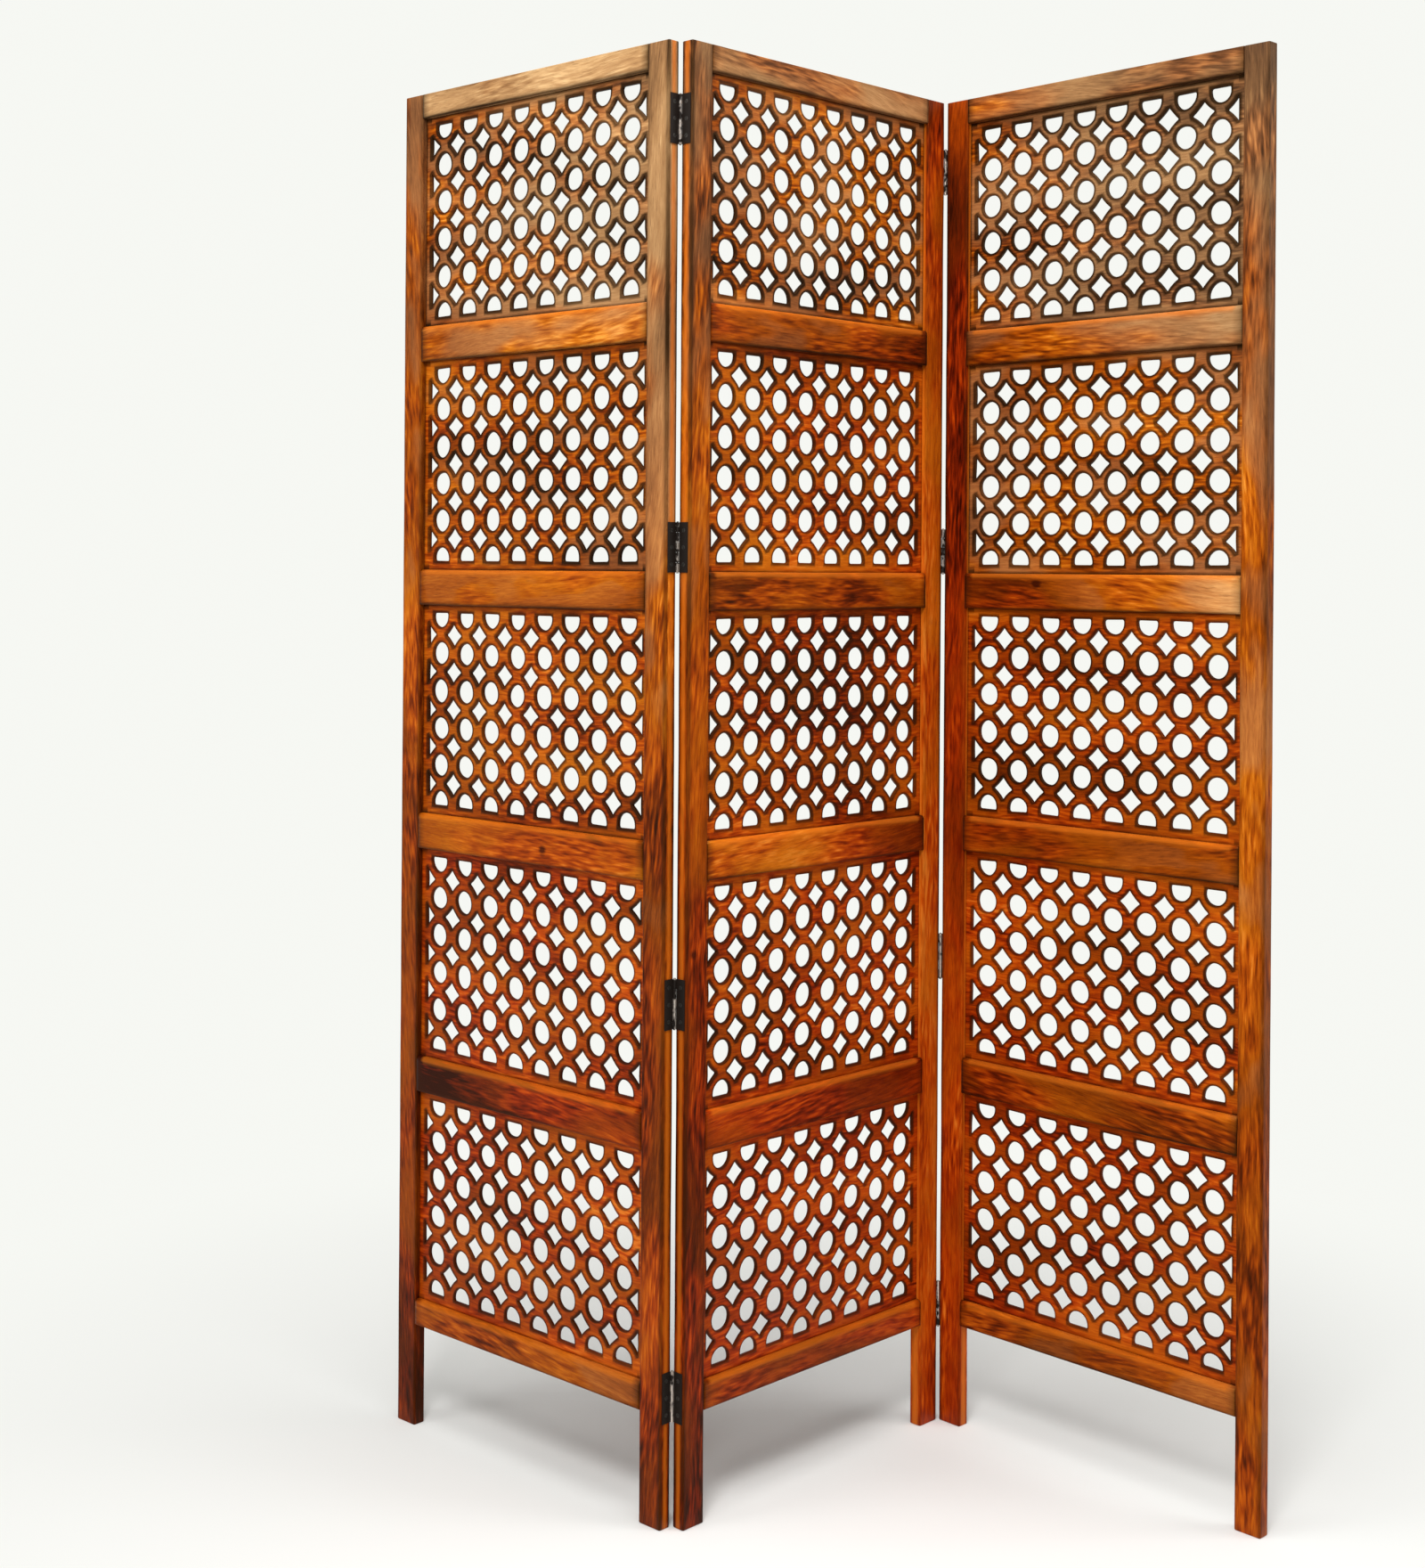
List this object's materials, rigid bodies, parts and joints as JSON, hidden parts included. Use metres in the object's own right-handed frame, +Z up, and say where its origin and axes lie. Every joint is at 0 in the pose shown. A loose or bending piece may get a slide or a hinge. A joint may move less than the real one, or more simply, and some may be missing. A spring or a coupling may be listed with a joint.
{
  "type": "folding jali screen",
  "caption": "Free-standing folding room screen of hinged wooden frames filled with pierced jali plates in a ring and diamond lattice.",
  "frame": {"origin": "on the floor, in the middle of the rectangle that the standing screen's bounding box covers", "axes": "+Z up, +X to the right along the row of panels, +Y from the front of the screen to its back"},
  "size_m": [1.107, 0.3741, 1.829],
  "materials": {
    "frame_wood": "honey to red-brown mango wood with dark streaks, satin",
    "jali_wood": "pierced mango wood with dark burnt cut edges, satin",
    "hinge_iron": "black painted sheet iron",
    "screw_steel": "blackened steel"
  },
  "bodies": {
    "centre_panel": {"centre_panel_left_stile": "frame_wood", "centre_panel_right_stile": "frame_wood", "centre_panel_top_rail": "frame_wood", "centre_panel_middle_rail_1": "frame_wood", "centre_panel_middle_rail_2": "frame_wood", "centre_panel_middle_rail_3": "frame_wood", "centre_panel_middle_rail_4": "frame_wood", "centre_panel_bottom_rail": "frame_wood", "centre_panel_jali_1": "jali_wood", "centre_panel_jali_2": "jali_wood", "centre_panel_jali_3": "jali_wood", "centre_panel_jali_4": "jali_wood", "centre_panel_jali_5": "jali_wood", "left_fold_hinge_1_centre_leaf": "hinge_iron", "left_fold_hinge_2_centre_leaf": "hinge_iron", "left_fold_hinge_3_centre_leaf": "hinge_iron", "left_fold_hinge_4_centre_leaf": "hinge_iron", "right_fold_hinge_1_centre_leaf": "hinge_iron", "right_fold_hinge_2_centre_leaf": "hinge_iron", "right_fold_hinge_3_centre_leaf": "hinge_iron", "right_fold_hinge_4_centre_leaf": "hinge_iron", "centre_panel_screws": "screw_steel", "left_fold_pins": "hinge_iron", "right_fold_pins": "hinge_iron"},
    "left_panel": {"left_panel_left_stile": "frame_wood", "left_panel_right_stile": "frame_wood", "left_panel_top_rail": "frame_wood", "left_panel_middle_rail_1": "frame_wood", "left_panel_middle_rail_2": "frame_wood", "left_panel_middle_rail_3": "frame_wood", "left_panel_middle_rail_4": "frame_wood", "left_panel_bottom_rail": "frame_wood", "left_panel_jali_1": "jali_wood", "left_panel_jali_2": "jali_wood", "left_panel_jali_3": "jali_wood", "left_panel_jali_4": "jali_wood", "left_panel_jali_5": "jali_wood", "left_fold_hinge_1_left_leaf": "hinge_iron", "left_fold_hinge_2_left_leaf": "hinge_iron", "left_fold_hinge_3_left_leaf": "hinge_iron", "left_fold_hinge_4_left_leaf": "hinge_iron", "left_panel_screws": "screw_steel"},
    "right_panel": {"right_panel_left_stile": "frame_wood", "right_panel_right_stile": "frame_wood", "right_panel_top_rail": "frame_wood", "right_panel_middle_rail_1": "frame_wood", "right_panel_middle_rail_2": "frame_wood", "right_panel_middle_rail_3": "frame_wood", "right_panel_middle_rail_4": "frame_wood", "right_panel_bottom_rail": "frame_wood", "right_panel_jali_1": "jali_wood", "right_panel_jali_2": "jali_wood", "right_panel_jali_3": "jali_wood", "right_panel_jali_4": "jali_wood", "right_panel_jali_5": "jali_wood", "right_fold_hinge_1_right_leaf": "hinge_iron", "right_fold_hinge_2_right_leaf": "hinge_iron", "right_fold_hinge_3_right_leaf": "hinge_iron", "right_fold_hinge_4_right_leaf": "hinge_iron", "right_panel_screws": "screw_steel"}
  },
  "joints": [
    {"name": "left_fold", "type": "hinge", "parent": "centre_panel", "child": "left_panel", "pos_m": [-0.17745, -0.16371, 0.9], "axis": [0, 0, 1], "range_deg": [-92, 88]},
    {"name": "right_fold", "type": "hinge", "parent": "centre_panel", "child": "right_panel", "pos_m": [0.19535, 0.176, 0.9], "axis": [0, 0, 1], "range_deg": [-89, 91]}
  ]
}
